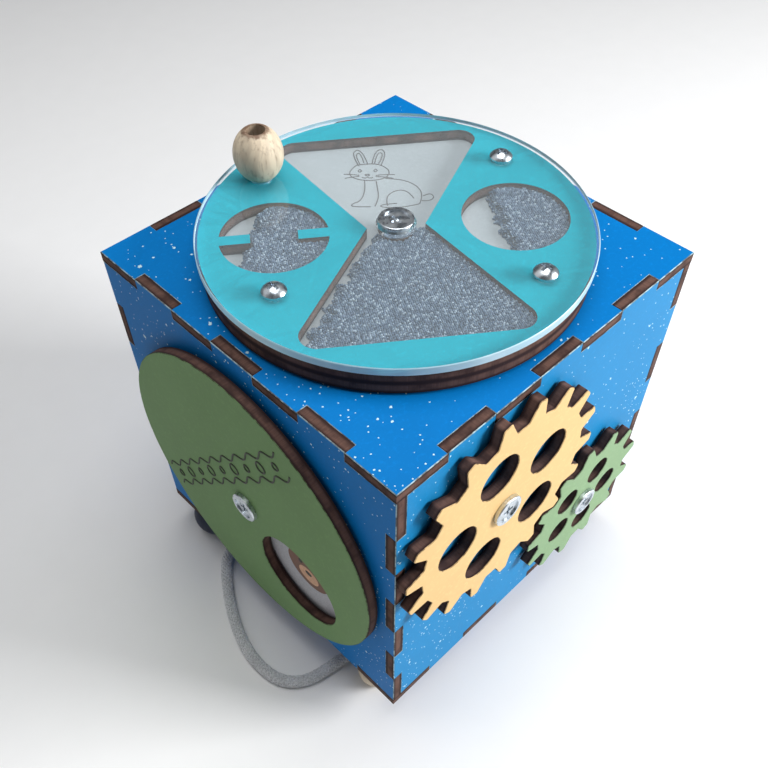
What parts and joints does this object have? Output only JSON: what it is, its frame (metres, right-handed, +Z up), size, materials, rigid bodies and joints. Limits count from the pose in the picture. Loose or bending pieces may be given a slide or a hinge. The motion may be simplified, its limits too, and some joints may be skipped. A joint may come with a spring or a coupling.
{
  "type": "baby activity cube",
  "caption": "Finger-jointed wooden activity cube with a spinning bead wheel, meshing gears, a turning picture disc and a cord loop.",
  "frame": {"origin": "on the ground, under the middle of the cube", "axes": "+Z up through the bead wheel, -Y the face with the gears, -X the face with the picture disc"},
  "size_m": [0.1678, 0.1469, 0.1861],
  "materials": {
    "blue_board": "matt blue paint with fine pale specks, dark laser-cut edges",
    "teal_board": "satin teal paint, dark laser-cut edges",
    "white_board": "white-faced board, dark laser-cut edges",
    "green_board": "matt green paint, dark laser-cut edges",
    "light_green_board": "matt light green paint, dark laser-cut edges",
    "peach_board": "matt cream-orange paint, dark laser-cut edges",
    "bare_board": "bare laser-cut board",
    "clear_acrylic": "clear polished acrylic",
    "glass_beads": "silver-grey fine glass beads",
    "turned_wood": "turned bare wood",
    "navy_wood": "turned wood painted navy",
    "zinc_steel": "bright zinc plate",
    "printed_sheet": "printed sheet",
    "grey_cord": "braided grey cord"
  },
  "bodies": {
    "box": {"bottom_panel": "blue_board", "cord_knots": "grey_cord", "disc_bolt": "zinc_steel", "disc_washer": "zinc_steel", "foot_nuts": "zinc_steel", "foot_screws": "zinc_steel", "gear_panel": "blue_board", "gear_washers": "zinc_steel", "inner_washers": "zinc_steel", "large_gear_bolt": "zinc_steel", "lock_nuts": "zinc_steel", "natural_feet": "turned_wood", "painted_feet": "navy_wood", "picture_panel": "blue_board", "picture_plate": "printed_sheet", "pull_cord": "grey_cord", "rear_left_panel": "blue_board", "rear_right_panel": "blue_board", "small_gear_bolt": "zinc_steel", "top_panel": "blue_board", "wheel_bolt": "zinc_steel", "wheel_top_washer": "zinc_steel", "wheel_under_washer": "zinc_steel"},
    "wheel": {"wheel_base": "white_board", "window_ring": "teal_board", "hub_spacer": "bare_board", "clear_cover": "clear_acrylic", "sector_beads": "glass_beads", "round_window_beads": "glass_beads", "tabbed_window_beads": "glass_beads", "clamp_screws": "zinc_steel", "handle_screw": "zinc_steel", "handle_washer": "zinc_steel"},
    "handle": {"handle_bead": "turned_wood"},
    "picture_disc": {"picture_disc": "green_board"},
    "large_gear": {"large_gear": "peach_board"},
    "small_gear": {"small_gear": "light_green_board"}
  },
  "joints": [
    {"name": "wheel_spin", "type": "hinge", "parent": "box", "child": "wheel", "pos_m": [0, 0, 0.156], "axis": [0, 0, 1], "continuous": true},
    {"name": "handle_spin", "type": "hinge", "parent": "wheel", "child": "handle", "pos_m": [-0.0152, 0.04973, 0.167], "axis": [0, 0, 1], "continuous": true},
    {"name": "picture_disc_spin", "type": "hinge", "parent": "box", "child": "picture_disc", "pos_m": [-0.07, 0, 0.084], "axis": [-1, 0, 0], "continuous": true},
    {"name": "large_gear_spin", "type": "hinge", "parent": "box", "child": "large_gear", "pos_m": [-0.0245, -0.07, 0.1085], "axis": [0, -1, 0], "continuous": true},
    {"name": "small_gear_spin", "type": "hinge", "parent": "box", "child": "small_gear", "pos_m": [0.03009, -0.07, 0.05795], "axis": [0, -1, 0], "continuous": true}
  ],
  "couplings": [
    {"joint": "small_gear_spin", "follows": "large_gear_spin", "ratio": -1.3846}
  ]
}
